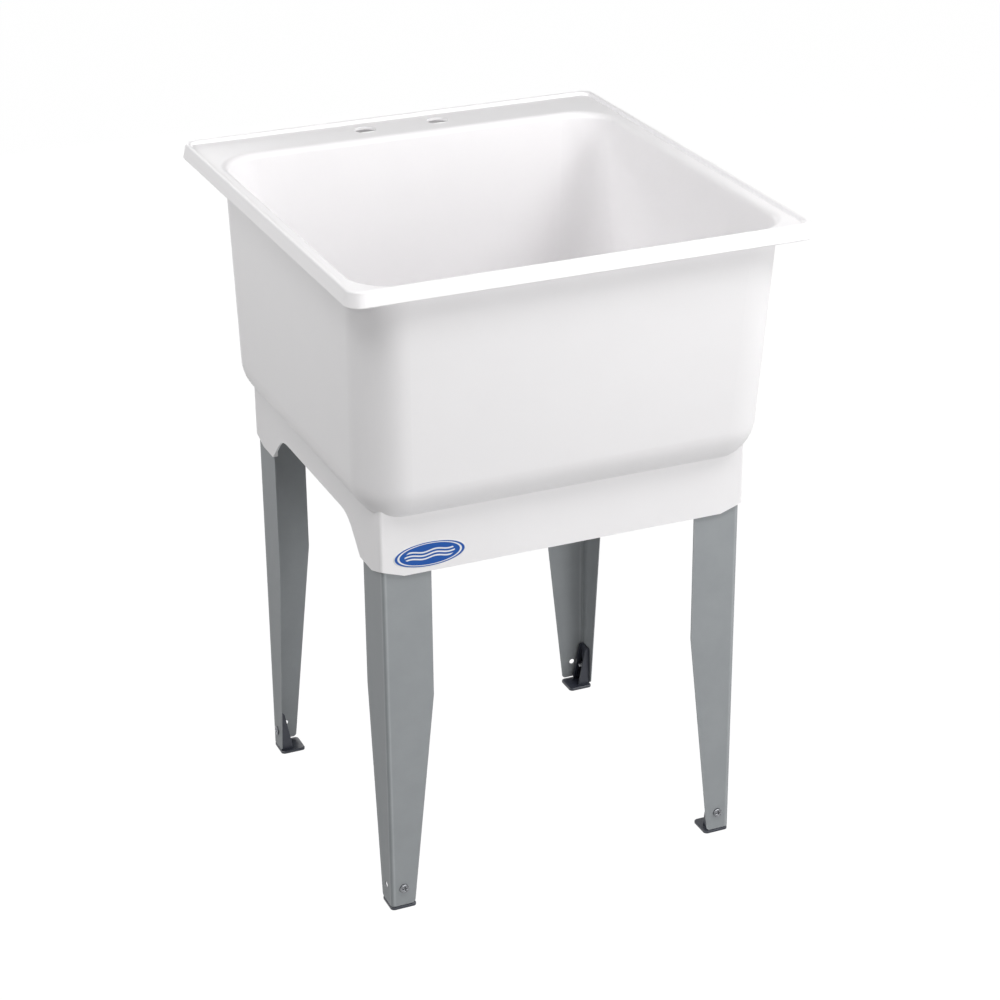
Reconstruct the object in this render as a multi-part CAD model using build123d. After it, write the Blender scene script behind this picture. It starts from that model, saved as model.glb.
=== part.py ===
from build123d import *
from math import atan2, degrees
import os

# Floor-standing laundry sink: a one-piece moulded tub on four angle-steel legs with adjustable feet.
# Millimetres, +Z up, +Y to the back. The origin is on the floor, under the centre of the rim.

# ---- rim ----
RIM_WIDTH = 584.0          # lower edge of the lip, left to right
RIM_DEPTH = 630.0          # lower edge of the lip, front to back
RIM_HEIGHT = 850.0         # top of the bead above the floor
LIP_HEIGHT = 19.0          # bead top down to the lip's lower edge
LIP_FLARE = 4.0            # how far the lip leans out towards its lower edge
LIP_ROUND = 1.5            # rounding of the lip's lower outer edge
RIM_CORNER = 20.0          # corner radius of the lip in plan
BEAD_WIDTH = 5.5           # flat-to-flat width of the raised bead at its top
BEAD_HEIGHT = 4.5          # bead top above the ledge
BEAD_SLOPE = 2.0           # lean of the bead's inner side
BEAD_ROUND = 2.4           # rounding of the bead's edges
WALL = 4.0                 # moulded wall of basin and rim

# ---- basin ----
LEDGE_SIDE = 22.0          # lip's lower edge to the basin's outer wall, measured under the ledge
LEDGE_FRONT = 18.0
LEDGE_BACK = 76.0          # the wide ledge that carries the faucet
MOUTH_ROUND = 8.0          # roll of the ledge into the basin
BASIN_ROUND = 56.0         # outer radius of the corners and of the roll into the floor
FLOOR_HEIGHT = 531.5       # underside of the basin floor
FLOOR_OVERHANG = 21.3      # the walls pass this far outside the skirt where they meet it

# ---- skirt and leg pockets ----
SKIRT_WIDTH = 479.4
SKIRT_DEPTH = 460.9
SKIRT_SET_FORWARD = 16.75  # the skirt's centre lies this far in front of the rim's centre
SKIRT_BOTTOM = 464.0       # lower edge of the skirt above the floor
SKIRT_SHOULDER = 553.0     # top of the skirt where its corners pass the basin's round corners
SHOULDER_THICKNESS = 4.0
SKIRT_WALL = 2.7
SKIRT_CORNER = 4.0         # corner radius of the skirt in plan
CORNER_RISE = 10.0         # the lower edge rises this much towards each corner
CORNER_RUN = 30.0          # over this length
ARCH_RISE = 41.0           # height of the arch in each side
ARCH_ROUND = 50.0
POCKET_INNER_WALL = 2.6
POCKET_PLAY = 0.15         # leg to pocket, each side
POCKET_END_WALL = 3.0
RIB_THICKNESS = 3.0
FLOOR_RIB_DEPTH = 12.0
LEDGE_RIBS = (-180.0, -100.0, 0.0, 100.0, 180.0)

# ---- faucet holes in the back ledge ----
FAUCET_SPACING = 101.6
FAUCET_HOLE = 28.6
FAUCET_FROM_BACK = 40.0    # lip's lower back edge to the hole centres

# ---- legs ----
LEG_STEEL = 1.2
LEG_LEAF = 62.5            # width of each leaf above the knee
LEG_LEAF_FOOT = 31.5       # width of each leaf at its lower end
LEG_KNEE = 295.0           # height where the taper starts
LEG_BOTTOM = 5.2           # just over the plate of a leveler that is right up
LEG_TOP = 529.0
LEG_BEND = 3.5             # inner radius of the fold
LEG_TIP_ROUND = 5.0
LEG_KNEE_ROUND = 40.0

# ---- levelers and their screws ----
LEVELER_SIDE = 34.0
LEVELER_PLATE = 3.6
LEVELER_CORNER = 5.0
LEVELER_TOP = 60.0
LEVELER_WALL = 3.0         # the wall that the screw clamps
LEVELER_CHANNEL = 22.0     # outer width over its two gussets
LEVELER_GUSSET = 2.6
LEVELER_GUSSET_FOOT = 17.0
LEVELER_GUSSET_TOP = 6.0
LEVELER_TRAVEL = 14.0
LEVELER_PLAY = 0.1         # leveler to leg
LEVELER_EDGE = 1.0         # bevel round the top of the plate
LEVELER_TOP_ROUND = 4.0
SCREW_HEIGHT = 29.5
SCREW_SHANK = 6.2
SCREW_LENGTH = 13.0
SCREW_HEAD = 12.0
SCREW_HEAD_HEIGHT = 3.2
SCREW_HOLE = 7.5           # hole in each leaf of a leg
SCREW_SLOT = 6.8           # width of the slot in the leveler
NUT_SIDE = 11.0
NUT_THICKNESS = 3.6
NUT_PLAY = 0.05

# ---- screws that keep the legs in their pockets ----
KEEPER_HEIGHT = 497.0
KEEPER_FROM_FOLD = 34.0
KEEPER_SHANK = 4.0
KEEPER_HOLE = 4.2
KEEPER_BITE = 1.8          # depth into the skirt
KEEPER_HEAD = 8.0
KEEPER_HEAD_HEIGHT = 2.4
KEEPER_END_PLAY = 0.2

# ---- drain ----
SUMP_DEPTH = 3.0
SUMP_RADIUS = 44.0
SUMP_SLOPE = 60.0          # radius where the dish starts
BOSS_RADIUS = 48.0
BOSS_DEPTH = 5.0           # below the floor's underside
DRAIN_FLANGE_RADIUS = 38.0
DRAIN_FLANGE = 2.4
DRAIN_FLANGE_BEVEL = 3.0
DRAIN_FLANGE_EDGE = 1.0    # thickness at the flange's rim
DRAIN_BORE = 38.0
DRAIN_SHANK = 47.6
DRAIN_BOTTOM = 478.0
DRAIN_HOLE_PLAY = 0.5
SEAT_RADIUS = 25.0         # top of the tapered seat for the stopper
SEAT_DEPTH = 10.0
STRAINER_BAR = 3.0
STRAINER_BELOW_SEAT = 6.0
GASKET_RADIUS = 33.0
GASKET_THICKNESS = 3.4
FRICTION_RING = 1.0
LOCKNUT_RADIUS = 33.0
LOCKNUT_HEIGHT = 10.0
LOCKNUT_LUGS = 6
LOCKNUT_LUG_WIDTH = 7.0
LOCKNUT_LUG_DEPTH = 4.0
LOCKNUT_COLLAR = 3.0       # height of the plain collar under the friction ring
THREAD_PLAY = 0.2
TAIL_WASHER = 2.0
TAIL_TUBE = 38.1
TAIL_STEEL = 1.2
TAIL_FLANGE = 1.4
TAIL_LENGTH = 100.0
TAIL_PLAY = 0.7            # tailpiece to slip nut
SLIP_NUT_RADIUS = 29.5
SLIP_NUT_GRIP = 14.0
SLIP_NUT_LIP = 3.0
SLIP_NUT_RIBS = 10
SLIP_NUT_RIB_WIDTH = 4.0
SLIP_NUT_RIB_DEPTH = 1.5
SLIP_NUT_BEVEL = 3.0
STOPPER_GAP = 0.3
STOPPER_SHORT = 1.5        # the plug's body ends this far above the foot of the seat
STOPPER_LIP_RADIUS = 28.5
STOPPER_LIP = 3.0
STOPPER_STEM_RADIUS = 5.0
STOPPER_STEM = 8.0
STOPPER_KNOB_RADIUS = 9.0
STOPPER_KNOB_HEIGHT = 6.0
STOPPER_BEVEL = 1.5

PAST = 1.0                 # how far cutters run past what they cut

# ---- levels and places worked out from the sizes above ----
LIP_LEAN = degrees(atan2(LIP_FLARE, LIP_HEIGHT))
LEDGE_TOP = RIM_HEIGHT - BEAD_HEIGHT
LEDGE_UNDER = LEDGE_TOP - WALL
LIP_BOTTOM = RIM_HEIGHT - LIP_HEIGHT
SKIRT_X = SKIRT_WIDTH / 2
SKIRT_FRONT = -SKIRT_SET_FORWARD - SKIRT_DEPTH / 2
SKIRT_BACK = -SKIRT_SET_FORWARD + SKIRT_DEPTH / 2
SKIRT_MIDDLE = -SKIRT_SET_FORWARD
POCKET_SLOT = LEG_STEEL + 2 * POCKET_PLAY
POCKET_DEPTH = SKIRT_WALL + POCKET_SLOT + POCKET_INNER_WALL
POCKET_LENGTH = SKIRT_WALL + POCKET_PLAY + LEG_LEAF + POCKET_PLAY + POCKET_END_WALL
JUNCTION = FLOOR_HEIGHT + BASIN_ROUND - (BASIN_ROUND ** 2 - (BASIN_ROUND - FLOOR_OVERHANG) ** 2) ** 0.5
SUMP_TOP = FLOOR_HEIGHT + WALL - SUMP_DEPTH
BOSS_BOTTOM = FLOOR_HEIGHT - BOSS_DEPTH
FLANGE_TOP = SUMP_TOP + DRAIN_FLANGE
GASKET_BOTTOM = BOSS_BOTTOM - GASKET_THICKNESS
RING_BOTTOM = GASKET_BOTTOM - FRICTION_RING
LOCKNUT_BOTTOM = RING_BOTTOM - LOCKNUT_HEIGHT
TAIL_TOP = DRAIN_BOTTOM - TAIL_WASHER
SHANK_RADIUS = DRAIN_SHANK / 2
BORE_RADIUS = DRAIN_BORE / 2
DRAIN_AT = Pos(0, SKIRT_MIDDLE, 0)


def outline(x_half, front, back, corner, height):
    """A level rectangle with rounded corners."""
    middle = (front + back) / 2
    return Pos(0, middle, height) * RectangleRounded(2 * x_half, back - front, corner)


def rim_outline(height, inset):
    """The lip's outside at a height, drawn in by inset."""
    drawn_in = inset + LIP_FLARE * (height - LIP_BOTTOM) / LIP_HEIGHT
    y_half = RIM_DEPTH / 2 - drawn_in
    return outline(RIM_WIDTH / 2 - drawn_in, -y_half, y_half, RIM_CORNER - inset, height)


def wall_at(height, foot, mouth):
    """Where a basin wall stands at a height, given its places at the skirt and under the ledge."""
    return foot + (mouth - foot) * (height - JUNCTION) / (LEDGE_UNDER - JUNCTION)


def basin_walls(height, inset):
    """Half the basin's width, its front and its back at a height, drawn in by inset."""
    x_half = wall_at(height, SKIRT_X + FLOOR_OVERHANG, RIM_WIDTH / 2 - LEDGE_SIDE) - inset
    front = wall_at(height, SKIRT_FRONT - FLOOR_OVERHANG, LEDGE_FRONT - RIM_DEPTH / 2) + inset
    back = wall_at(height, SKIRT_BACK + FLOOR_OVERHANG, RIM_DEPTH / 2 - LEDGE_BACK) - inset
    return x_half, front, back


def basin_form(bottom, top, inset):
    """The basin's wall surface as a solid: four leaning flat walls, rounded into each other and the floor."""
    side_view = []
    front_view = []
    for height in (bottom, top):
        x_half, front, back = basin_walls(height, inset)
        front_view += [(-x_half, height), (x_half, height)]
        side_view += [(front, height), (back, height)]
    along_y = extrude(Plane.XZ * trapezoid(front_view), RIM_DEPTH, both=True)
    along_x = extrude(Plane.YZ * trapezoid(side_view), RIM_WIDTH, both=True)
    form = along_y & along_x
    upright = form.edges().filter_by(lambda e: e.bounding_box().size.Z > BASIN_ROUND)
    return fillet(upright + form.edges().group_by(Axis.Z)[0], BASIN_ROUND - inset)


def trapezoid(points):
    """A face on two low and two high points, each pair given from left to right."""
    low_left, low_right, high_left, high_right = points
    return make_face(Polyline(low_left, low_right, high_right, high_left, close=True))


def edges_at(part, height):
    """The edges that lie level at a height."""
    near = 0.01
    return part.edges().filter_by(lambda e: abs(e.bounding_box().min.Z - height) < near
                                  and abs(e.bounding_box().max.Z - height) < near)


def make_rim():
    """The ledge with its raised bead and its outer lip, hollow underneath."""
    block = extrude(rim_outline(LIP_BOTTOM, 0), LIP_HEIGHT, taper=LIP_LEAN)
    dish_foot = rim_outline(LEDGE_TOP, BEAD_WIDTH + BEAD_SLOPE)
    block = block - extrude(dish_foot, BEAD_HEIGHT + PAST, taper=-degrees(atan2(BEAD_SLOPE, BEAD_HEIGHT)))
    block = fillet(edges_at(block, RIM_HEIGHT), BEAD_ROUND)
    block = fillet(edges_at(block, LIP_BOTTOM), LIP_ROUND)
    return block - extrude(rim_outline(LIP_BOTTOM, WALL), LEDGE_UNDER - LIP_BOTTOM, taper=LIP_LEAN)


def corner_signs():
    """The four corners as (x side, y side), front left first."""
    return [(-1, -1), (1, -1), (-1, 1), (1, 1)]


def block_between(low, high):
    """A box between two opposite corners."""
    size = [high[i] - low[i] for i in range(3)]
    return Pos(*low) * Box(*size, align=(Align.MIN, Align.MIN, Align.MIN))


def at_corner(solid, x_side, y_side):
    """Takes a solid drawn at a front-left corner at the origin, leaves along +X and +Y, to a skirt corner."""
    if x_side > 0:
        solid = mirror(solid, Plane.YZ)
    if y_side > 0:
        solid = mirror(solid, Plane.XZ)
    corner_y = SKIRT_FRONT if y_side < 0 else SKIRT_BACK
    return Pos(x_side * SKIRT_X, corner_y, 0) * solid


def at_leg(solid, x_side, y_side):
    """Takes a solid drawn with a leg's fold at the origin to its leg."""
    inset = SKIRT_WALL + POCKET_PLAY
    return at_corner(Pos(inset, inset, 0) * solid, x_side, y_side)


def upright_cylinder(radius, height):
    """A cylinder that stands on the origin."""
    return Cylinder(radius, height, align=(Align.CENTER, Align.CENTER, Align.MIN))


def turned(points):
    """A round piece from its outline, given as radius and height."""
    return revolve(Plane.XZ * make_face(Polyline(*points, close=True)), Axis.Z)


def ring(inner, outer, bottom, top):
    """A flat round ring."""
    return turned([(inner, bottom), (outer, bottom), (outer, top), (inner, top)])


def pocket_block():
    """L-shaped block inside a skirt corner that the leg pocket is sunk into."""
    top = SKIRT_SHOULDER - SHOULDER_THICKNESS / 2
    low = SKIRT_WALL / 2
    along_x = block_between((low, low, SKIRT_BOTTOM), (POCKET_LENGTH, POCKET_DEPTH, top))
    along_y = block_between((low, low, SKIRT_BOTTOM), (POCKET_DEPTH, POCKET_LENGTH, top))
    return along_x + along_y


def leg_outline(play):
    """The leg's L-shaped cross-section, fold at the origin, grown by play all round."""
    far = LEG_LEAF + play
    thick = LEG_STEEL + play
    ell = make_face(Polyline((-play, -play), (far, -play), (far, thick), (thick, thick), (thick, far),
                             (-play, far), close=True))
    fold_outside = ell.vertices().sort_by_distance((-play, -play, 0))[0]
    ell = fillet(fold_outside, LEG_BEND + LEG_STEEL + play)
    fold_inside = ell.vertices().sort_by_distance((thick, thick, 0))[0]
    return fillet(fold_inside, LEG_BEND - play)


def pocket_slot():
    """L-shaped slot that takes the top of a leg, closed at the leg's upper end."""
    below = SKIRT_BOTTOM - PAST
    inset = SKIRT_WALL + POCKET_PLAY
    return extrude(Pos(inset, inset, below) * leg_outline(POCKET_PLAY), LEG_TOP - below)


def corner_wedge():
    """Cutter that lifts the skirt's lower edge towards a corner, in both faces alike."""
    slope = CORNER_RISE / CORNER_RUN
    run = CORNER_RUN + PAST / slope
    side = make_face(Polyline((-PAST, SKIRT_BOTTOM - PAST), (run, SKIRT_BOTTOM - PAST),
                              (-PAST, SKIRT_BOTTOM + CORNER_RISE + PAST * slope), close=True))
    along_x = Pos(0, -PAST, 0) * extrude(Plane.XZ * side, -(run + PAST))
    along_y = Pos(-PAST, 0, 0) * extrude(Plane.YZ * side, run + PAST)
    return along_x & along_y


def arch_cutter():
    """Arch through both side skirts, between the pockets: sloping ends, round shoulders and a flat top."""
    half = SKIRT_DEPTH / 2 - POCKET_LENGTH
    top = SKIRT_BOTTOM + ARCH_RISE
    below = SKIRT_BOTTOM - PAST
    lean = ARCH_RISE
    points = [(-half, below), (-half, SKIRT_BOTTOM), (lean - half, top), (half - lean, top),
              (half, SKIRT_BOTTOM), (half, below)]
    face = make_face(Polyline(*points, close=True))
    face = fillet(face.vertices().group_by(Axis.Y)[-1], ARCH_ROUND)
    cutter = extrude(Plane.YZ * face, SKIRT_X + PAST, both=True)
    return Pos(0, SKIRT_MIDDLE, 0) * cutter


def keeper_axis():
    """The keeper screw's place on the outer face of a leg's leaf along +Y, its local Z into the skirt."""
    return Pos(0, KEEPER_FROM_FOLD, KEEPER_HEIGHT) * Rot(0, 90, 0)


def make_skirt(basin_outside):
    """Skirt walls with the leg pockets in their corners, cut to the underside of the basin."""
    outer = outline(SKIRT_X, SKIRT_FRONT, SKIRT_BACK, SKIRT_CORNER, SKIRT_BOTTOM)
    inner = outline(SKIRT_X - SKIRT_WALL, SKIRT_FRONT + SKIRT_WALL, SKIRT_BACK - SKIRT_WALL, SKIRT_CORNER / 4,
                    SKIRT_BOTTOM)
    skirt = extrude(outer, SKIRT_SHOULDER - SKIRT_BOTTOM)
    skirt = skirt - extrude(inner, SKIRT_SHOULDER - SHOULDER_THICKNESS - SKIRT_BOTTOM)
    for x_side, y_side in corner_signs():
        skirt = skirt + at_corner(pocket_block(), x_side, y_side)
    skirt = skirt - basin_outside - arch_cutter()
    keeper_hole = Pos(0, 0, -POCKET_PLAY - KEEPER_BITE) * upright_cylinder(
        KEEPER_HOLE / 2, KEEPER_BITE + POCKET_SLOT + POCKET_INNER_WALL + PAST)
    for x_side, y_side in corner_signs():
        skirt = skirt - at_corner(pocket_slot(), x_side, y_side)
        skirt = skirt - at_corner(corner_wedge(), x_side, y_side)
        skirt = skirt - at_leg(keeper_axis() * keeper_hole, x_side, y_side)
    return skirt


def make_tub():
    """The whole moulding: basin, ledge and lip, skirt, pockets, ribs, drain boss and faucet holes."""
    outside = basin_form(FLOOR_HEIGHT, LEDGE_UNDER + WALL / 2, 0)
    cavity = basin_form(FLOOR_HEIGHT + WALL, RIM_HEIGHT + PAST, WALL)
    boss = Pos(0, 0, BOSS_BOTTOM) * upright_cylinder(BOSS_RADIUS, BOSS_DEPTH + WALL / 2)
    tub = make_rim() + outside + make_skirt(outside) + DRAIN_AT * boss + floor_ribs() + ledge_ribs()
    tub = tub - cavity
    mouth = edges_at(tub, LEDGE_TOP).filter_by(in_basin_mouth)
    return fillet(mouth, MOUTH_ROUND) - DRAIN_AT * drain_cutter() - faucet_holes()


def in_basin_mouth(edge):
    """Tells the edges between ledge and basin from those at the foot of the bead."""
    box = edge.bounding_box()
    in_width = max(abs(box.min.X), abs(box.max.X)) < RIM_WIDTH / 2 - LEDGE_SIDE
    in_depth = box.min.Y > LEDGE_FRONT - RIM_DEPTH / 2 and box.max.Y < RIM_DEPTH / 2 - LEDGE_BACK
    return in_width and in_depth


def drain_cutter():
    """The dish around the drain and the hole for its shank."""
    floor_top = FLOOR_HEIGHT + WALL
    dish = turned([(0, SUMP_TOP), (SUMP_RADIUS, SUMP_TOP), (SUMP_SLOPE, floor_top),
                   (SUMP_SLOPE, floor_top + PAST), (0, floor_top + PAST)])
    hole_radius = SHANK_RADIUS + DRAIN_HOLE_PLAY
    return dish + Pos(0, 0, BOSS_BOTTOM - PAST) * upright_cylinder(hole_radius, floor_top - BOSS_BOTTOM)


def faucet_holes():
    """Cutters for the two holes in the back ledge."""
    row = RIM_DEPTH / 2 - FAUCET_FROM_BACK
    drill = Cylinder(FAUCET_HOLE / 2, 4 * WALL)
    return [Pos(side * FAUCET_SPACING / 2, row, LEDGE_TOP) * drill for side in (-1, 1)]


def floor_ribs():
    """Four ribs under the floor, from the drain boss out to the skirt walls."""
    bottom = FLOOR_HEIGHT - FLOOR_RIB_DEPTH
    half = RIB_THICKNESS / 2
    top = FLOOR_HEIGHT + WALL / 2
    reach = BOSS_RADIUS - WALL / 4
    across = [
        ((reach, -half), (SKIRT_X - SKIRT_WALL / 2, half)),
        ((SKIRT_WALL / 2 - SKIRT_X, -half), (-reach, half)),
        ((-half, reach), (half, SKIRT_DEPTH / 2 - SKIRT_WALL / 2)),
        ((-half, SKIRT_WALL / 2 - SKIRT_DEPTH / 2), (half, -reach)),
    ]
    ribs = [DRAIN_AT * block_between((*low, bottom), (*high, top)) for low, high in across]
    return ribs[0] + ribs[1] + ribs[2] + ribs[3]


def ledge_ribs():
    """Stiffening ribs inside the hollow of the back ledge, clear of the faucet holes."""
    wall = RIM_DEPTH / 2 - LEDGE_BACK
    lip = RIM_DEPTH / 2 - WALL
    ribs = Part()
    for x in LEDGE_RIBS:
        low = (x - RIB_THICKNESS / 2, wall - WALL / 2, LIP_BOTTOM + 1)
        high = (x + RIB_THICKNESS / 2, lip - LIP_FLARE / 2, LEDGE_UNDER + 1)
        ribs += block_between(low, high)
    return ribs


def leaf_taper():
    """What the taper takes off one leaf: drawn as distance from the fold against height."""
    knee = (LEG_LEAF, LEG_KNEE)
    tip = (LEG_LEAF_FOOT, LEG_BOTTOM)
    blade = make_face(Polyline((0, LEG_BOTTOM), tip, knee, (LEG_LEAF, LEG_TOP), (0, LEG_TOP), close=True))
    blade = fillet(blade.vertices().sort_by_distance((*knee, 0))[0], LEG_KNEE_ROUND)
    blade = fillet(blade.vertices().sort_by_distance((*tip, 0))[0], LEG_TIP_ROUND)
    outside = LEG_LEAF + PAST
    below = LEG_BOTTOM - PAST
    blank = make_face(Polyline((0, below), (outside, below), (outside, LEG_TOP), (0, LEG_TOP), close=True))
    return blank - blade


def make_leg():
    """Angle-steel leg, drawn with its fold at the origin and its leaves along +X and +Y."""
    through = 2 * LEG_STEEL
    leg = extrude(Pos(0, 0, LEG_BOTTOM) * leg_outline(0), LEG_TOP - LEG_BOTTOM)
    for plane in (Plane.XZ, Plane.YZ):
        leg = leg - extrude(plane * leaf_taper(), through, both=True)
    hole = screw_axis() * Cylinder(SCREW_HOLE / 2, through)
    leg = leg - hole - on_side_leaf(hole)
    return leg - keeper_axis() * Cylinder(KEEPER_HOLE / 2, through)


def screw_axis():
    """The screw's place in the leaf along +X: at the leaf's outer face, its local Z into the leg."""
    return Pos(LEVELER_SIDE / 2, 0, SCREW_HEIGHT) * Rot(-90, 0, 0)


def on_side_leaf(solid):
    """Takes what is drawn on the leaf along +X to the leaf along +Y."""
    return mirror(solid, Plane(origin=(0, 0, 0), z_dir=(1, -1, 0)))


def make_leveler():
    """Moulded foot: square plate, slotted wall against the leaf along +X and a gusset on each side of it."""
    plate = extrude(RectangleRounded(LEVELER_SIDE, LEVELER_SIDE, LEVELER_CORNER), LEVELER_PLATE)
    plate = chamfer(plate.edges().group_by(Axis.Z)[-1], LEVELER_EDGE)
    middle = LEVELER_SIDE / 2
    foot = Pos(middle, middle, 0) * plate + channel_with_gussets()
    slot = SlotCenterToCenter(LEVELER_TRAVEL, SCREW_SLOT, rotation=90)
    slot_place = Pos(middle, LEG_STEEL + LEVELER_PLAY, SCREW_HEIGHT + LEVELER_TRAVEL / 2) * Rot(90, 0, 0)
    return foot - slot_place * extrude(slot, 2 * LEVELER_WALL, both=True)


def channel_with_gussets():
    """The leveler's wall against the leaf and the sloping gusset at each edge of it."""
    near = LEG_STEEL + LEVELER_PLAY
    low = LEVELER_PLATE / 2
    start = (LEVELER_SIDE - LEVELER_CHANNEL) / 2
    top_corner = (near + LEVELER_GUSSET_TOP, LEVELER_TOP)
    side = make_face(Polyline((near, low), (near + LEVELER_GUSSET_FOOT, low), top_corner, (near, LEVELER_TOP),
                              close=True))
    side = fillet(side.vertices().sort_by_distance((*top_corner, 0))[0], LEVELER_TOP_ROUND)
    upright = Pos(start, 0, 0) * extrude(Plane.YZ * side, LEVELER_CHANNEL)
    return upright - block_between(
        (start + LEVELER_GUSSET, near + LEVELER_WALL, LEVELER_PLATE),
        (start + LEVELER_CHANNEL - LEVELER_GUSSET, LEVELER_SIDE, LEVELER_TOP + PAST))


def screw(head_width, head_height, shank_width, length):
    """Pan-head screw, the underside of its head at Z = 0, its shank upwards."""
    head = head_width / 2
    shank = shank_width / 2
    bevel = head_height / 2
    return turned([(0, -head_height), (head - bevel, -head_height), (head, -bevel), (head, 0), (shank, 0),
                   (shank, length), (0, length)])


def make_leveler_nut():
    """Square nut that lies in the leveler's channel, behind its slotted wall."""
    nut = extrude(Rectangle(NUT_SIDE, NUT_SIDE) - Circle(SCREW_SHANK / 2 + NUT_PLAY), NUT_THICKNESS)
    return Pos(0, 0, LEG_STEEL + LEVELER_WALL + 2 * LEVELER_PLAY) * nut


def make_keeper():
    """Self-tapping screw: head inside the skirt, through pocket wall and leg, into the skirt."""
    length = POCKET_DEPTH - SKIRT_WALL + KEEPER_BITE - KEEPER_END_PLAY
    blank = screw(KEEPER_HEAD, KEEPER_HEAD_HEIGHT, KEEPER_SHANK, length)
    return keeper_axis() * Pos(0, 0, POCKET_DEPTH - SKIRT_WALL - POCKET_PLAY) * Rot(180, 0, 0) * blank


def make_drain_body():
    """Flanged drain: flange in the dish, tapered seat, cross bars and a long shank for the two nuts."""
    seat_foot = FLANGE_TOP - SEAT_DEPTH
    body = turned([
        (SEAT_RADIUS, FLANGE_TOP), (DRAIN_FLANGE_RADIUS - DRAIN_FLANGE_BEVEL, FLANGE_TOP),
        (DRAIN_FLANGE_RADIUS, SUMP_TOP + DRAIN_FLANGE_EDGE), (DRAIN_FLANGE_RADIUS, SUMP_TOP),
        (SHANK_RADIUS, SUMP_TOP), (SHANK_RADIUS, DRAIN_BOTTOM), (BORE_RADIUS, DRAIN_BOTTOM),
        (BORE_RADIUS, seat_foot)])
    middle = seat_foot - STRAINER_BELOW_SEAT - STRAINER_BAR / 2
    bar = Pos(0, 0, middle) * Box(DRAIN_BORE + WALL / 2, STRAINER_BAR, STRAINER_BAR)
    return body + bar + Rot(0, 0, 90) * bar


def make_locknut():
    """Round nut with a plain collar and lugs around it."""
    bore = SHANK_RADIUS + THREAD_PLAY
    nut = ring(bore, LOCKNUT_RADIUS - LOCKNUT_LUG_DEPTH, LOCKNUT_BOTTOM, RING_BOTTOM)
    nut = nut + ring(bore, LOCKNUT_RADIUS, RING_BOTTOM - LOCKNUT_COLLAR, RING_BOTTOM)
    half = LOCKNUT_LUG_WIDTH / 2
    inner = LOCKNUT_RADIUS - 2 * LOCKNUT_LUG_DEPTH
    lug = block_between((inner, -half, LOCKNUT_BOTTOM), (LOCKNUT_RADIUS, half, RING_BOTTOM))
    lug = lug & ring(bore, LOCKNUT_RADIUS, LOCKNUT_BOTTOM, RING_BOTTOM)
    for place in PolarLocations(0, LOCKNUT_LUGS):
        nut = nut + place * lug
    return nut


def make_slip_nut():
    """Cap nut that holds the tailpiece's flange against the drain's lower end, with grip ribs around it."""
    bore = SHANK_RADIUS + THREAD_PLAY
    neck = TAIL_TUBE / 2 + TAIL_PLAY
    seat = TAIL_TOP - TAIL_FLANGE
    bottom = seat - SLIP_NUT_LIP
    top = DRAIN_BOTTOM + SLIP_NUT_GRIP
    outer = SLIP_NUT_RADIUS - SLIP_NUT_RIB_DEPTH
    bevel_top = bottom + SLIP_NUT_BEVEL
    nut = turned([(neck, bottom), (outer - SLIP_NUT_BEVEL, bottom), (outer, bevel_top), (outer, top),
                  (bore, top), (bore, seat), (neck, seat)])
    half = SLIP_NUT_RIB_WIDTH / 2
    grip = block_between((outer - SLIP_NUT_RIB_DEPTH, -half, bevel_top + PAST), (SLIP_NUT_RADIUS, half, top))
    for place in PolarLocations(0, SLIP_NUT_RIBS):
        nut = nut + place * grip
    return nut


def make_tailpiece():
    """Thin outlet tube with a turned-out flange at its top."""
    outer = TAIL_TUBE / 2
    inner = outer - TAIL_STEEL
    flange = SHANK_RADIUS - TAIL_PLAY
    bottom = TAIL_TOP - TAIL_LENGTH
    return turned([(inner, TAIL_TOP), (flange, TAIL_TOP), (flange, TAIL_TOP - TAIL_FLANGE),
                   (outer, TAIL_TOP - TAIL_FLANGE), (outer, bottom), (inner, bottom)])


def make_stopper():
    """Rubber plug: lip on the drain's flange, tapered body in its seat, stem and knob to lift it by."""
    lean = (SEAT_RADIUS - BORE_RADIUS) / SEAT_DEPTH
    body_depth = SEAT_DEPTH - STOPPER_SHORT
    body_top = SEAT_RADIUS - STOPPER_GAP
    body_foot = body_top - lean * body_depth
    lip_top = FLANGE_TOP + STOPPER_LIP
    knob_bottom = lip_top + STOPPER_STEM
    knob_top = knob_bottom + STOPPER_KNOB_HEIGHT
    knob_edge = STOPPER_KNOB_RADIUS - STOPPER_BEVEL
    return turned([
        (0, FLANGE_TOP - body_depth), (body_foot, FLANGE_TOP - body_depth), (body_top, FLANGE_TOP),
        (STOPPER_LIP_RADIUS, FLANGE_TOP), (STOPPER_LIP_RADIUS, lip_top - STOPPER_BEVEL),
        (STOPPER_LIP_RADIUS - STOPPER_BEVEL, lip_top), (STOPPER_STEM_RADIUS, lip_top + STOPPER_BEVEL),
        (STOPPER_STEM_RADIUS, knob_bottom), (knob_edge, knob_bottom),
        (STOPPER_KNOB_RADIUS, knob_bottom + STOPPER_BEVEL), (STOPPER_KNOB_RADIUS, knob_top - STOPPER_BEVEL),
        (knob_edge, knob_top), (0, knob_top)])


def on_screw_leaf(solid, y_side):
    """Puts a foot's piece on the leaf its screw is in: the front leaf in front, the side leaf at the back."""
    return solid if y_side < 0 else on_side_leaf(solid)


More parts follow.
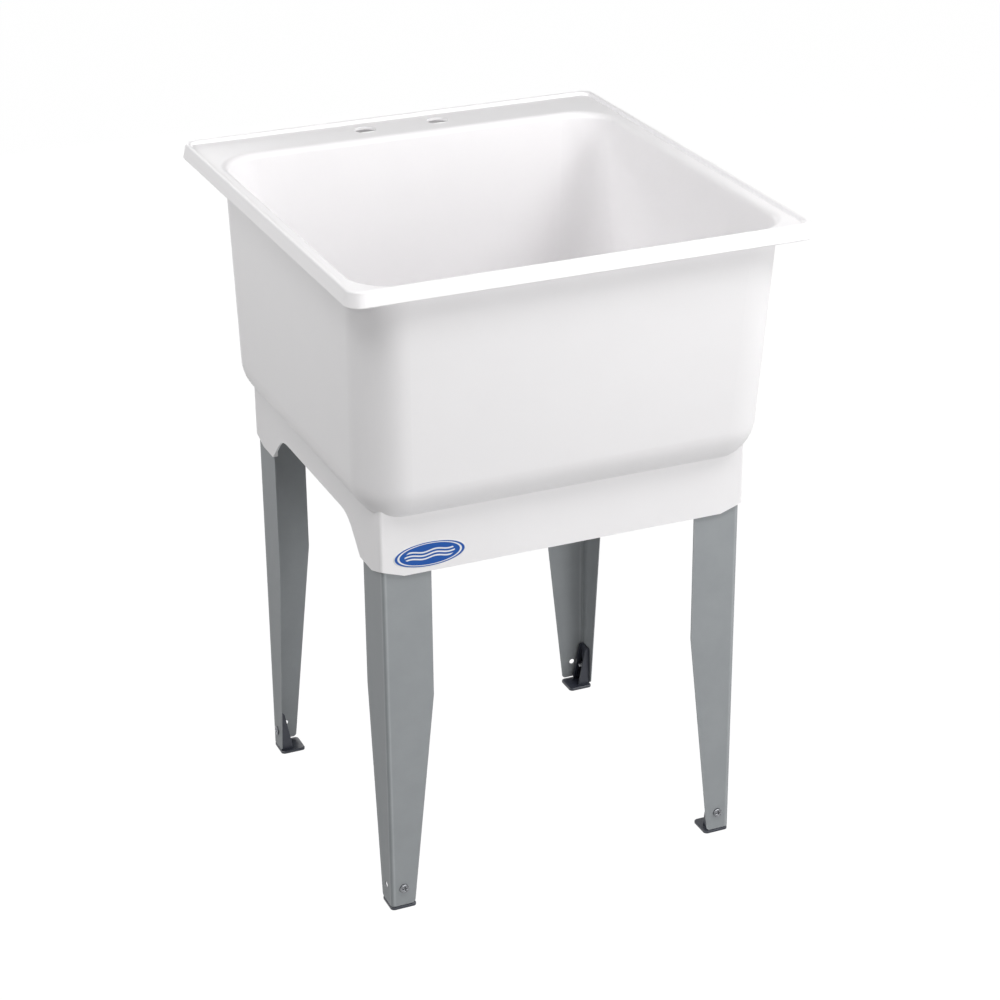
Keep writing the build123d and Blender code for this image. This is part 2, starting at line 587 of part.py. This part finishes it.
os.makedirs("parts", exist_ok=True)
pieces = {"tub": make_tub()}
leg = make_leg()
leveler = make_leveler()
leveler_screw = screw_axis() * screw(SCREW_HEAD, SCREW_HEAD_HEIGHT, SCREW_SHANK, SCREW_LENGTH)
leveler_nut = screw_axis() * make_leveler_nut()
leg_screw = make_keeper()
for x_side, y_side in corner_signs():
    corner = ("front" if y_side < 0 else "back") + ("_left" if x_side < 0 else "_right")
    pieces["leg_" + corner] = at_leg(leg, x_side, y_side)
    pieces["leveler_" + corner] = at_leg(on_screw_leaf(leveler, y_side), x_side, y_side)
    pieces["leveler_screw_" + corner] = at_leg(on_screw_leaf(leveler_screw, y_side), x_side, y_side)
    pieces["leveler_nut_" + corner] = at_leg(on_screw_leaf(leveler_nut, y_side), x_side, y_side)
    pieces["leg_screw_" + corner] = at_leg(leg_screw, x_side, y_side)
pieces["drain_body"] = DRAIN_AT * make_drain_body()
over_shank = SHANK_RADIUS + THREAD_PLAY
pieces["drain_gasket"] = DRAIN_AT * ring(over_shank, GASKET_RADIUS, GASKET_BOTTOM, BOSS_BOTTOM)
pieces["drain_friction_ring"] = DRAIN_AT * ring(over_shank, GASKET_RADIUS, RING_BOTTOM, GASKET_BOTTOM)
pieces["drain_locknut"] = DRAIN_AT * make_locknut()
pieces["tailpiece_washer"] = DRAIN_AT * ring(BORE_RADIUS, SHANK_RADIUS, TAIL_TOP, DRAIN_BOTTOM)
pieces["slip_nut"] = DRAIN_AT * make_slip_nut()
pieces["tailpiece"] = DRAIN_AT * make_tailpiece()
pieces["stopper"] = DRAIN_AT * make_stopper()
for name, solid in pieces.items():
    export_step(solid, "parts/" + name + ".step")
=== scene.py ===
import math
import bmesh
import bpy
import numpy as np
from mathutils import Matrix, Vector


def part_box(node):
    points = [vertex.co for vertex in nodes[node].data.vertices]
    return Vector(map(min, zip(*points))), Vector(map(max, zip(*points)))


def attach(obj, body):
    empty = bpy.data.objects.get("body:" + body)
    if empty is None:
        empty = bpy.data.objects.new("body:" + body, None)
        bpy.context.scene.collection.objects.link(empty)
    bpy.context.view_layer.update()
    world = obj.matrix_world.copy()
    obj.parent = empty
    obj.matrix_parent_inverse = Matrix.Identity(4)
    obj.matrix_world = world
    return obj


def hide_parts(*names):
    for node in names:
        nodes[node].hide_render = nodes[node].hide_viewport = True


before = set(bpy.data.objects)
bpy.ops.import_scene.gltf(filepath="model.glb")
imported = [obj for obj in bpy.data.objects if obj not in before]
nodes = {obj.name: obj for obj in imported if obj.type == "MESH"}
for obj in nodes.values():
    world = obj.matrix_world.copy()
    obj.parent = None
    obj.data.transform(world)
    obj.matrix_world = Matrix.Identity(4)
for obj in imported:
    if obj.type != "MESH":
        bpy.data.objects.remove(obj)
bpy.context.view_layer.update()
corners = ("front_left", "front_right", "back_left", "back_right")


# ---- camera ----
# Stands in front and to the left of the sink, above its rim, and looks down on it.
# Its place, turn and lens are those from which the photograph's straight edges line up.
eye = Vector((-1.16864, -2.78525, 1.81355))
turn, tilt, roll = 0.403047, 0.432749, 0.0086051
focal_length, frame_width = 2569.997, 1000  # in pixels
film_width = 36.0  # in millimetres
ahead = Vector((math.sin(turn) * math.cos(tilt), math.cos(turn) * math.cos(tilt), -math.sin(tilt)))
level = Vector((math.cos(turn), -math.sin(turn), 0.0))
below = ahead.cross(level)
across = level * math.cos(roll) + below * math.sin(roll)
down = below * math.cos(roll) - level * math.sin(roll)
lens = bpy.data.cameras.new("camera")
lens.sensor_width = film_width
lens.lens = film_width * focal_length / frame_width
camera = bpy.data.objects.new("camera", lens)
camera.matrix_world = Matrix((across, -down, -ahead)).transposed().to_4x4()
camera.location = eye
bpy.context.scene.collection.objects.link(camera)
bpy.context.scene.camera = camera


# ---- studio ----
# A plain white room. The floor and the space behind show white to the camera and in reflections, and
# the floor keeps a soft shadow. Wide soft lamps stand 3 m off in front, at the right and behind, and
# three smaller ones nearer and higher, at the front right, the front left and the left.
class Wire:
    """A shader socket: arithmetic on it adds Math nodes to its material."""

    def __init__(self, tree, socket=None):
        self.tree = tree
        self.socket = socket

    def node(self, kind, settings=None, output=0, **sockets):
        """Adds a node, applies its settings, fills its sockets, and returns one of its outputs. A socket
        goes by its name, with _ for a space, or by i and its number where several share a name."""
        made = self.tree.nodes.new("ShaderNode" + kind)
        for name, value in (settings or {}).items():
            if name == "stops":
                for stop, (position, colour) in zip(made.color_ramp.elements, value):
                    stop.position = position
                    stop.color = (*colour, 1.0)
            else:
                setattr(made, name, value)
        for name, value in sockets.items():
            if name[1:].isdigit():
                target = made.inputs[int(name[1:])]
            else:
                words = name.replace("_", " ")
                target = [s for s in made.inputs if s.enabled and s.name.lower() == words][0]
            if isinstance(value, Wire):
                self.tree.links.new(value.socket, target)
            else:
                target.default_value = value
        return Wire(self.tree, made.outputs[output])

    def maths(self, operation, *values):
        """The result of one Math operation on wires and numbers."""
        named = {f"i{k}": v for k, v in enumerate(values)}
        return self.node("Math", {"operation": operation}, **named)

    def __add__(self, other):
        return self.maths("ADD", self, other)

    def __sub__(self, other):
        return self.maths("SUBTRACT", self, other)

    def __rsub__(self, other):
        return self.maths("SUBTRACT", other, self)

    def __mul__(self, other):
        return self.maths("MULTIPLY", self, other)

    __radd__ = __add__
    __rmul__ = __mul__

    def __abs__(self):
        return self.maths("ABSOLUTE", self)

    def clamp(self):
        """The value held between 0 and 1."""
        return self.node("Clamp", value=self)


def finish_named(name, colour, roughness, **fixed):
    """A new material: returns it, a wire to build with and its main shader node."""
    material = bpy.data.materials.new(name)
    material.use_nodes = True
    shader = material.node_tree.nodes["Principled BSDF"]
    shader.inputs["Base Color"].default_value = (*colour, 1.0)
    shader.inputs["Roughness"].default_value = roughness
    for words, value in fixed.items():
        shader.inputs[words.replace("_", " ")].default_value = value
    return material, Wire(material.node_tree), shader


def feed(wire, node, socket):
    """Links a wire into the socket of that name on a node, such as a material's main shader."""
    wire.tree.links.new(wire.socket, node.inputs[socket])


def grid_mesh(name, points, closed_u=False, closed_v=False):
    """Mesh of a grid of points: rows run along u and columns along v, each pair of neighbours joined."""
    rows, columns = points.shape[:2]
    index = np.arange(rows * columns).reshape(rows, columns)
    if closed_u:
        index = np.vstack([index, index[:1]])
    if closed_v:
        index = np.hstack([index, index[:, :1]])
    quads = np.stack([index[:-1, :-1], index[1:, :-1], index[1:, 1:], index[:-1, 1:]], axis=-1)
    mesh = bpy.data.meshes.new(name)
    mesh.from_pydata(points.reshape(-1, 3).tolist(), [], quads.reshape(-1, 4).tolist())
    whole = bmesh.new()
    whole.from_mesh(mesh)
    bmesh.ops.remove_doubles(whole, verts=whole.verts, dist=1e-6)
    whole.to_mesh(mesh)
    whole.free()
    return mesh


def placed(name, mesh, material, body=None, smooth=True):
    """Links a mesh as an object with its finish, and lets it ride on a CAD body."""
    mesh.materials.append(material)
    mesh.polygons.foreach_set("use_smooth", np.full(len(mesh.polygons), smooth))
    made = bpy.data.objects.new(name, mesh)
    bpy.context.scene.collection.objects.link(made)
    if body:
        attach(made, body)
    return made


def seen_directly(wire):
    """1 for what the camera sees straight, mirrored or through something clear, and 0 for the light that
    falls on a surface: the sum of three kinds of ray, held at 1."""
    straight, mirrored, through = (wire.node("LightPath", output=f"Is {kind} Ray")
                                   for kind in ("Camera", "Glossy", "Transmission"))
    return (straight + mirrored + through).clamp()


room = bpy.data.worlds.new("room")
room.use_nodes = True
bpy.context.scene.world = room
glow = room.node_tree.nodes["Background"]
glow.inputs["Color"].default_value = (1.0, 1.0, 1.0, 1.0)
feed(seen_directly(Wire(room.node_tree)), glow, "Strength")

floor_grey = (0.5, 0.5, 0.5)
floor_finish, wire, shader = finish_named("floor_paint", floor_grey, roughness=0.9)
shadow_share = 0.1
white = wire.node("Emission", strength=1.0 + shadow_share)
painted = Wire(wire.tree, shader.outputs["BSDF"])
mixed = wire.node("MixShader", fac=seen_directly(wire) * (1.0 - shadow_share), i1=painted, i2=white)
feed(mixed, wire.tree.nodes["Material Output"], "Surface")
floor_half = 6.0
reach = np.array([-floor_half, floor_half])
spread = np.stack(np.meshgrid(reach, reach, [0.0], indexing="ij"), axis=-1)[:, :, 0]
floor = placed("floor", grid_mesh("floor", spread), floor_finish, smooth=False)

middle_of_tub = Vector((0.0, 0.0, 0.7))
# name: (where it stands, its width in metres, its power in watts)
lamps = {
    "front": ((0.1, -3.03, 1.24), 1.2, 26.0),
    "front_right": ((1.52, -2.63, 1.24), 1.2, 19.0),
    "right": ((3.03, 0.0, 1.24), 1.2, 14.0),
    "high_right": ((0.8, -0.8, 1.83), 0.7, 12.8),
    "high_left": ((-0.86, -0.86, 2.16), 0.7, 10.6),
    "left": ((-1.6, 0.42, 1.68), 0.7, 13.4),
    "behind": ((0.0, 3.03, 1.0), 1.2, 24.0),
}
for name, (stand, width, power) in lamps.items():
    lamp = bpy.data.lights.new(name, "AREA")
    lamp.size = width
    lamp.energy = power
    holder = bpy.data.objects.new(name, lamp)
    holder.location = stand
    holder.rotation_euler = (middle_of_tub - Vector(stand)).to_track_quat("-Z", "Y").to_euler()
    holder.visible_camera = False
    bpy.context.scene.collection.objects.link(holder)


# ---- tub ----
# The basin, its ledge and the skirt are one moulding of white plastic with a fine satin grain.
# The shape is the CAD node's own; here it gets its finish.
def noise(place, scale, detail, roughness):
    """Cloudy noise from 0 to 1 at a place: scale clouds to the metre, with detail finer layers on them,
    each as strong as the layer before it times roughness."""
    return place.node("TexNoise", vector=place, scale=scale, detail=detail, roughness=roughness)


def tinted(share, low, dark, high, light):
    """Colour that is dark up to the share low, light from the share high, and runs evenly between. It sets
    the two stops that a ramp has from the start."""
    return share.node("ValToRGB", {"stops": [(low, dark), (high, light)]}, fac=share)


def shades(colour, step):
    """A colour's darker and its lighter shade, a step away in each of its three parts."""
    return tuple(part - step for part in colour), tuple(part + step for part in colour)


def rough_skin(height, strength, depth):
    """Surface direction on a relief of heights from 0 to 1, which stands for depth in metres."""
    return height.node("Bump", strength=strength, distance=depth, height=height)


tub_white = (0.926, 0.914, 0.922)
tub_dark, tub_light = shades(tub_white, step=0.008)
tub_finish, wire, shader = finish_named("tub_plastic", tub_white, roughness=0.38, Specular_IOR_Level=0.35)
place = wire.node("TexCoord", output="Object")
cloud = noise(place, scale=9.0, detail=2.0, roughness=0.5)
grain = noise(place, scale=900.0, detail=2.0, roughness=0.6)
peel = noise(place, scale=160.0, detail=1.0, roughness=0.4)
fine_lines = wire.node("Mapping", vector=place, scale=(1400.0, 1400.0, 9.0))
scuffs = noise(fine_lines, scale=1.0, detail=2.0, roughness=0.5)
feed(tinted(cloud, 0.3, tub_dark, 0.7, tub_light), shader, "Base Color")
feed(0.31 + cloud * 0.1 + grain * 0.05 + scuffs * 0.05, shader, "Roughness")
feed(rough_skin(grain * 0.5 + peel + scuffs * 0.12, strength=0.1, depth=0.0004), shader, "Normal")
nodes["tub"].material_slots[0].material = tub_finish


# ---- legs ----
# Four legs of folded sheet steel, painted grey in a satin finish. The colour holds a painted shade, a dark
# line right at the fold, and a painted highlight, a lighter and glossier line beside it.
def band(distance, half, soft):
    """1 where the distance from a line's middle is under half, falling evenly to 0 over soft."""
    return ((half + soft - abs(distance)) * (1.0 / soft)).clamp()


def mixed_in(share, ground, colour):
    """The ground's colour with a share of another one in it. A Mix node's colours are its sockets 6 and 7,
    and the mixed colour is its output 2."""
    return share.node("Mix", {"data_type": "RGBA"}, output=2, i0=share, i6=ground, i7=(*colour, 1.0))


leg_grey = (0.348, 0.367, 0.38)
leg_dark, leg_light = shades(leg_grey, step=0.017)
# painted highlight: the lighter grey of a line beside each fold, where a glint would fall
fold_highlight_grey = (0.62, 0.65, 0.66)
# painted shade: the darker grey of a line right at each fold
fold_shade_grey = (0.2, 0.22, 0.23)
highlight_line, highlight_soft = 0.0042, 1.0 / 450.0
shade_line, shade_soft = 0.0012, 1.0 / 600.0
leg_finish, wire, shader = finish_named("leg_paint", leg_grey, roughness=0.45, Specular_IOR_Level=0.1)
place = wire.node("TexCoord", output="Object")
mottle = noise(place, scale=30.0, detail=3.0, roughness=0.6)
peel = noise(place, scale=420.0, detail=2.0, roughness=0.5)
speck = noise(place, scale=1600.0, detail=1.0, roughness=0.5)
# off_fold is how far a point of a leaf lies from its leg's outer corner, the larger way along X or Y.
fold_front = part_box("leg_front_left")[0][1]
fold_right, fold_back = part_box("leg_back_right")[1][:2]
from_fold_x = fold_right - abs(wire.node("SeparateXYZ", output="X", vector=place))
y = wire.node("SeparateXYZ", output="Y", vector=place)
from_fold_y = wire.maths("MINIMUM", y - fold_front, fold_back - y)
off_fold = wire.maths("MAXIMUM", from_fold_x, from_fold_y)
# Painted highlight: a light line beside the fold, where the paint is also made glossier.
fold_highlight = band(off_fold - highlight_line, 0.0, highlight_soft) * (0.6 + mottle * 0.8)
# Painted shade: a dark line right at the fold.
fold_shade = band(off_fold - shade_line, 0.0, shade_soft)
even = tinted(mottle * 0.6 + speck * 0.4, 0.3, leg_dark, 0.7, leg_light)
# The even grey gets the painted highlight, and then the painted shade, mixed into it.
highlighted = mixed_in(fold_highlight * 0.3, even, fold_highlight_grey)
feed(mixed_in(fold_shade * 0.25, highlighted, fold_shade_grey), shader, "Base Color")
feed(0.38 + mottle * 0.14 - fold_highlight * 0.1, shader, "Roughness")
feed(rough_skin(peel + speck * 0.4, strength=0.14, depth=0.0003), shader, "Normal")
for corner in corners:
    nodes["leg_" + corner].material_slots[0].material = leg_finish


# ---- levelers ----
# Four moulded feet of dark plastic that slide in the legs. Each is clamped to its leg by one screw
# through its slot, and is a little scuffed and dusty.
foot_plain = (0.034, 0.038, 0.053)
foot_clean = (0.028, 0.032, 0.046)
foot_dusty = (0.05, 0.055, 0.072)
foot_finish, wire, shader = finish_named("leveler_plastic", foot_plain, roughness=0.35)
place = wire.node("TexCoord", output="Object")
grain = noise(place, scale=600.0, detail=2.0, roughness=0.5)
scuff = noise(place, scale=45.0, detail=4.0, roughness=0.7)
feed(tinted(scuff, 0.45, foot_clean, 0.75, foot_dusty), shader, "Base Color")
feed(0.28 + scuff * 0.22, shader, "Roughness")
feed(rough_skin(grain, strength=0.15, depth=0.0003), shader, "Normal")
for corner in corners:
    nodes["leveler_" + corner].material_slots[0].material = foot_finish


# ---- screws ----
# Zinc-plated steel: a pan-head machine screw with a cross recess and a square nut holds each leveler,
# and a smaller self-tapping screw inside the skirt keeps each leg in its pocket.
zinc_plain = (0.2, 0.205, 0.217)
zinc_dull = (0.14, 0.145, 0.155)
zinc_bright = (0.27, 0.275, 0.29)
zinc_finish, wire, shader = finish_named("zinc_plate", zinc_plain, roughness=0.2, Metallic=1.0)
place = wire.node("TexCoord", output="Object")
streak = noise(place, scale=900.0, detail=3.0, roughness=0.7)
dulled = noise(place, scale=260.0, detail=3.0, roughness=0.6)
feed(tinted(dulled, 0.35, zinc_dull, 0.65, zinc_bright), shader, "Base Color")
feed(0.1 + streak * 0.16, shader, "Roughness")
feed(rough_skin(streak, strength=0.1, depth=0.0002), shader, "Normal")


def screw_points(head_radius, head_height, shank_radius, length, pitch):
    """Screw on the Z axis with the underside of its head at Z = 0 and its shank upwards. Rings run from
    the middle of the domed face, whose drop is one minus the square root of one minus the radius to the
    power 2.6, over the rim and along the shank. The cross recess sinks the face by the distance inside
    the nearer slot's edge, and rises again to the arms' ends. The shank's radius goes down and up once a
    pitch, later by one pitch a turn."""
    steps_round, steps_across, steps_a_pitch = 72, 36, 9
    dome_power, dome_share, crowding = 2.6, 0.55, 0.9
    turns = np.linspace(0.0, -2.0 * np.pi, steps_round + 1)[:-1]
    radius = head_radius * np.sin(np.linspace(0.0, np.pi / 2.0, steps_across)) ** crowding
    drop = 1.0 - np.sqrt(np.maximum(0.0, 1.0 - (radius / head_radius) ** dome_power))
    dome = head_height * (dome_share * drop - 1.0)
    a = radius[:, None] * np.cos(turns)
    b = radius[:, None] * np.sin(turns)
    slot, slot_slope = 0.17 * head_radius, 0.35
    arm, arm_slope = 0.62 * head_radius, 0.5
    recess = 0.75 * head_height
    rim_height = 0.15 * head_height
    groove = 0.32 * pitch
    thread_start = 0.02 * length
    inside = np.clip((slot - np.minimum(abs(a), abs(b))) / (slot_slope * slot), 0.0, 1.0)
    inside = inside * np.clip((arm - np.maximum(abs(a), abs(b))) / (arm_slope * arm), 0.0, 1.0)
    face = dome[:, None] + recess * inside
    level = np.linspace(thread_start, length, steps_a_pitch * int(length / pitch) + 1)[:, None]
    wave = abs((level / pitch - turns / (2.0 * np.pi)) % 1.0 - 0.5) * 2.0
    thread = shank_radius - groove * (1.0 - wave)
    rim = np.array([[head_radius, -rim_height], [head_radius, 0.0], [shank_radius, 0.0]])
    flat = np.ones_like(turns)
    rings = np.concatenate([radius[:, None] * flat, rim[:, :1] * flat, thread, 0.0 * thread[:1]])
    levels = np.concatenate([face, rim[:, 1:] * flat, level * flat, level[-1:] * flat])
    return np.stack([rings * np.cos(turns), rings * np.sin(turns), levels], axis=-1)


def laid_on(points, node, outward, head_height):
    """Turns and moves a screw so that its head looks outward and lies where the CAD node's head does."""
    low, high = (np.array(corner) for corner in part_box(node))
    into = -np.array(outward)
    upright = np.array([0.0, 0.0, 1.0])
    side = np.cross(upright, into)
    seat = (low + high) / 2.0 - into * (np.dot(high - low, abs(into)) / 2.0 - head_height)
    return seat + points[..., :1] * side + points[..., 1:2] * upright + points[..., 2:] * into


leveler_head, leg_head = 0.0032, 0.0024
leveler_screw = screw_points(head_radius=0.006, head_height=leveler_head, shank_radius=0.0031,
                             length=0.013, pitch=0.0011)
leg_screw = screw_points(head_radius=0.004, head_height=leg_head, shank_radius=0.002,
                         length=0.0057, pitch=0.0014)
for corner in corners:
    nodes["leveler_nut_" + corner].material_slots[0].material = zinc_finish
    x_side = -1.0 if "left" in corner else 1.0
    out_of_leaf = (0.0, -1.0, 0.0) if "front" in corner else (x_side, 0.0, 0.0)
    out_of_pocket = (-x_side, 0.0, 0.0)
    for kind, points, outward, head_height in (("leveler_screw_", leveler_screw, out_of_leaf, leveler_head),
                                               ("leg_screw_", leg_screw, out_of_pocket, leg_head)):
        node = kind + corner
        mesh = grid_mesh("cross_" + node, laid_on(points, node, outward, head_height), closed_v=True)
        made = placed("cross_" + node, mesh, zinc_finish, "sink")
        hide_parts(node)


# ---- drain ----
# White moulded drain, nuts and tailpiece, black rubber gasket, washer and stopper, a fibre ring. The
# locknut clamps the drain in the floor of the basin, and the slip nut holds the tailpiece under it.
drain_white = (0.8, 0.8, 0.79)
drain_finish, wire, shader = finish_named("drain_plastic", drain_white, roughness=0.3)
place = wire.node("TexCoord", output="Object")
grain = noise(place, scale=500.0, detail=2.0, roughness=0.5)
feed(0.24 + grain * 0.12, shader, "Roughness")
feed(rough_skin(grain, strength=0.1, depth=0.0003), shader, "Normal")
for name in ("drain_body", "drain_locknut", "slip_nut", "tailpiece"):
    nodes[name].material_slots[0].material = drain_finish

rubber_black = (0.03, 0.03, 0.031)
rubber_finish, wire, shader = finish_named("rubber", rubber_black, roughness=0.6)
place = wire.node("TexCoord", output="Object")
bloom = noise(place, scale=120.0, detail=3.0, roughness=0.6)
feed(0.5 + bloom * 0.2, shader, "Roughness")
feed(rough_skin(bloom, strength=0.2, depth=0.0003), shader, "Normal")
for name in ("drain_gasket", "tailpiece_washer", "stopper"):
    nodes[name].material_slots[0].material = rubber_finish

fibre_brown = (0.42, 0.34, 0.25)
fibre_finish, wire, shader = finish_named("pressed_fibre", fibre_brown, roughness=0.8)
place = wire.node("TexCoord", output="Object")
fleck = noise(place, scale=700.0, detail=4.0, roughness=0.8)
feed(0.7 + fleck * 0.2, shader, "Roughness")
nodes["drain_friction_ring"].material_slots[0].material = fibre_finish


def thread_band(radius, depth, pitch, low, high, middle):
    """Screw thread round an upright tube at middle: the outer radius goes up and down once a pitch, later
    by one pitch a turn, and an inner wall just under the tube's surface closes the band."""
    steps_round, steps_a_pitch = 128, 12
    turns = np.linspace(0.0, 2.0 * np.pi, steps_round + 1)[:-1]
    level = np.linspace(low, high, steps_a_pitch * int((high - low) / pitch) + 1)[:, None]
    wave = abs((level / pitch - turns / (2.0 * np.pi)) % 1.0 - 0.5) * 2.0
    ends = np.clip(np.minimum(level - low, high - level) / pitch, 0.0, 1.0)
    outer = radius + depth * wave * ends
    inner = (radius - depth) * np.ones((2, len(turns)))
    ring = np.concatenate([outer, inner])
    levels = np.concatenate([level * np.ones_like(wave), [[high], [low]] * np.ones((2, len(turns)))])
    return np.stack([middle[0] + ring * np.cos(turns), middle[1] + ring * np.sin(turns), levels], axis=-1)


shank_low, shank_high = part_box("drain_body")
drain_axis = ((shank_low[0] + shank_high[0]) / 2.0, (shank_low[1] + shank_high[1]) / 2.0)
nut_gap = 0.0002
thread = thread_band(radius=0.0238, depth=0.0008, pitch=0.0022,
                     low=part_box("slip_nut")[1][2] + nut_gap,
                     high=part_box("drain_locknut")[0][2] - nut_gap, middle=drain_axis)
thread_mesh = grid_mesh("drain_thread", thread[::-1], closed_u=True, closed_v=True)
made = placed("drain_thread", thread_mesh, drain_finish, "sink")


# ---- label ----
# A thin oval sticker on the front of the skirt, over the left front leg: printed film with a plain
# pattern of a white ring and three white waves on blue, and a white edge all round.
label_middle = (-0.177, 0.4865)
label_half = (0.0462, 0.0162)
skirt_face = -0.2472
film_thickness = 0.00018
film_white = (0.9, 0.9, 0.9)
print_white = (0.86, 0.87, 0.88)
blue_dark, blue_light = (0.008, 0.085, 0.38), (0.011, 0.1, 0.43)
label_finish, wire, shader = finish_named("label_film", film_white, roughness=0.3, Specular_IOR_Level=0.3)
place = wire.node("TexCoord", output="Object")
# along and upward run from -1 to 1 across the oval, and out is 1 on its edge.
along = (wire.node("SeparateXYZ", output="X", vector=place) - label_middle[0]) * (1.0 / label_half[0])
upward = (wire.node("SeparateXYZ", output="Z", vector=place) - label_middle[1]) * (1.0 / label_half[1])
out = wire.maths("SQRT", along * along + upward * upward)
wave_radians, wave_height, wave_step = 9.0, 0.075, 0.27
line_half, line_soft, lines_end = 0.05, 0.02, 0.68
ring_middle, ring_half, ring_soft = 0.86, 0.02, 0.015
edge_start, edge_steepness = 0.955, 60.0
wave = wire.maths("SINE", along * wave_radians) * wave_height
middle_line, upper_line, lower_line = (band(upward - wave - row, line_half, line_soft)
                                       for row in (0.0, wave_step, -wave_step))
lines = wire.maths("MAXIMUM", wire.maths("MAXIMUM", middle_line, upper_line), lower_line)
lines = lines * band(out, lines_end, line_soft)
ring = band(out - ring_middle, ring_half, ring_soft)
edge = ((out - edge_start) * edge_steepness).clamp()
white_parts = wire.maths("MAXIMUM", wire.maths("MAXIMUM", lines, ring), edge)
print_grain = noise(place, scale=1500.0, detail=2.0, roughness=0.5)
blue = tinted(print_grain, 0.3, blue_dark, 0.7, blue_light)
feed(mixed_in(white_parts, blue, print_white), shader, "Base Color")
feed(0.26 + print_grain * 0.1, shader, "Roughness")
# Rings of the oval, by their share of its size: the film is flat on top, rounds down at its edge and
# closes just behind the face of the skirt.
share = np.array([0.0, 0.5, 0.9, 0.97, 1.0, 1.0, 0.0])[:, None]
lift = np.array([1.0, 1.0, 1.0, 0.9, 0.6, -0.2, -0.2])[:, None]
steps_round = 160
turns = np.linspace(0.0, 2.0 * np.pi, steps_round + 1)[:-1]
oval = np.stack([
    label_middle[0] + label_half[0] * share * np.cos(turns),
    skirt_face - film_thickness * lift * np.ones_like(turns),
    label_middle[1] + label_half[1] * share * np.sin(turns),
], axis=-1)
placed("skirt_label", grid_mesh("skirt_label", oval, closed_v=True), label_finish, "sink")


bpy.context.scene.view_settings.view_transform = "Standard"
